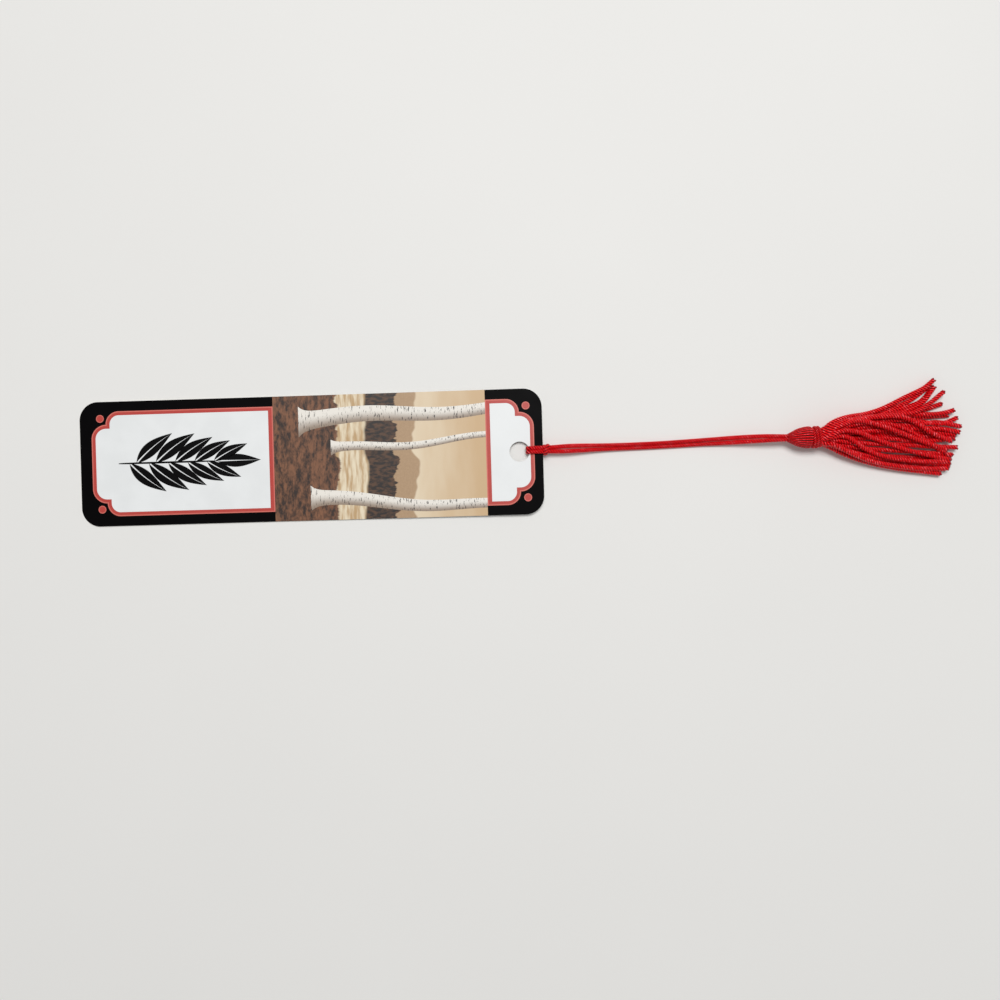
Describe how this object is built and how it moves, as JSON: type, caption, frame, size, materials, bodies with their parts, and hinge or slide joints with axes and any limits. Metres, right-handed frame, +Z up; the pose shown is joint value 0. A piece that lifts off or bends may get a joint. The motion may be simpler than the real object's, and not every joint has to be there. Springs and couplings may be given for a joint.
{
  "type": "bookmark",
  "caption": "Rounded card bookmark with a framed print and a punched hole, with a cord hitched through the hole and a bound tassel that swings on the cord.",
  "frame": {"origin": "on the table, under the middle of the card", "axes": "+X along the card towards its hole and the tassel, +Y across the card, +Z up from the table through the printed face"},
  "size_m": [0.2719, 0.0388, 0.0083],
  "materials": {
    "card": "gloss",
    "cord": "satin"
  },
  "bodies": {
    "card": {"card": "card", "cord_hitch": "cord"},
    "cord_root": {"cord_root_left": "cord", "cord_root_right": "cord"},
    "cord": {"cord_left": "cord", "cord_right": "cord"},
    "cord_end": {"cord_end_left": "cord", "cord_end_right": "cord"},
    "tassel": {"cord_tail_left": "cord", "cord_tail_right": "cord", "tassel_crown": "cord", "neck_binding": "cord", "skirt_strand_01": "cord", "skirt_strand_02": "cord", "skirt_strand_03": "cord", "skirt_strand_04": "cord", "skirt_strand_05": "cord", "skirt_strand_06": "cord", "skirt_strand_07": "cord", "skirt_strand_08": "cord", "skirt_strand_09": "cord", "skirt_strand_10": "cord", "skirt_strand_11": "cord", "skirt_strand_12": "cord", "skirt_strand_13": "cord", "skirt_strand_14": "cord", "skirt_strand_15": "cord", "skirt_strand_16": "cord", "skirt_strand_17": "cord", "skirt_strand_18": "cord", "skirt_strand_19": "cord", "skirt_strand_20": "cord", "skirt_strand_21": "cord", "skirt_strand_22": "cord", "skirt_strand_23": "cord", "skirt_strand_24": "cord", "skirt_strand_25": "cord", "skirt_strand_26": "cord"}
  },
  "joints": [
    {"name": "cord_swing", "type": "hinge", "parent": "card", "child": "cord_root", "pos_m": [0.07474, 0, 0.00265], "axis": [0, 0, 1], "range_deg": [-90, 90]},
    {"name": "cord_lift", "type": "hinge", "parent": "cord_root", "child": "cord", "pos_m": [0.07894, 0, 0.00265], "axis": [0, -1, 0], "range_deg": [-100, 100]},
    {"name": "tassel_lift", "type": "hinge", "parent": "cord", "child": "cord_end", "pos_m": [0.14074, 0.0016, 0.0042], "axis": [0, -1, 0], "range_deg": [-100, 100]},
    {"name": "tassel_swing", "type": "hinge", "parent": "cord_end", "child": "tassel", "pos_m": [0.14494, 0.0016, 0.0042], "axis": [0, 0, 1], "range_deg": [-90, 90]}
  ]
}
